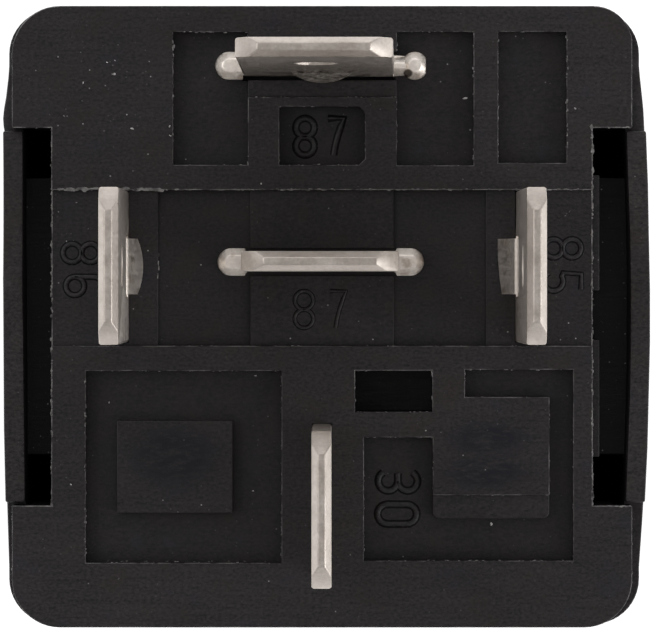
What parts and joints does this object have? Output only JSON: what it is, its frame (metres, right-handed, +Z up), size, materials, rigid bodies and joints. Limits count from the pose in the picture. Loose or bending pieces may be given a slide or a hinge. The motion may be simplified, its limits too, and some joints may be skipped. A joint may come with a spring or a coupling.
{
  "type": "automotive relay",
  "caption": "Plug-in automotive relay: a square black cover on a moulded base with flat blade terminals, holding a coil, yoke and hinged armature.",
  "frame": {"origin": "centre of the cover's flat closed end, which the relay stands on", "axes": "+Z up along the blades, +X across the two coil blades towards blade 85, +Y towards the outer output blade"},
  "size_m": [0.027, 0.026, 0.0368],
  "materials": {
    "cover_plastic": "satin",
    "base_plastic": "satin",
    "bobbin_nylon": "satin",
    "tinned_brass": "satin tin plate",
    "contact_silver": "satin",
    "enamelled_copper": "gloss",
    "zinced_iron": "satin",
    "spring_bronze": "satin"
  },
  "bodies": {
    "root": {"cover": "cover_plastic", "base": "base_plastic", "terminal_30": "tinned_brass", "terminal_85": "tinned_brass", "terminal_86": "tinned_brass", "terminal_87_outer": "tinned_brass", "terminal_87_centre": "tinned_brass", "contact_link": "tinned_brass", "fixed_contact": "contact_silver", "rest_stop": "tinned_brass", "bobbin": "bobbin_nylon", "coil_winding": "enamelled_copper", "coil_lead_85": "enamelled_copper", "coil_lead_86": "enamelled_copper", "core": "zinced_iron", "yoke": "zinced_iron", "yoke_rivets": "zinced_iron", "terminal_30_rivet": "zinced_iron"},
    "armature": {"armature": "zinced_iron", "contact_spring": "spring_bronze", "moving_contact": "contact_silver", "armature_rivets": "zinced_iron"}
  },
  "joints": [
    {"name": "armature_hinge", "type": "hinge", "parent": "root", "child": "armature", "pos_m": [-0.00019, -0.01095, 0.00525], "axis": [1, 0, 0], "range_deg": [0, 3.2], "stiffness_Nm_per_rad": 0.1, "springref_deg": -5.73, "deforming": ["contact_spring"]}
  ]
}
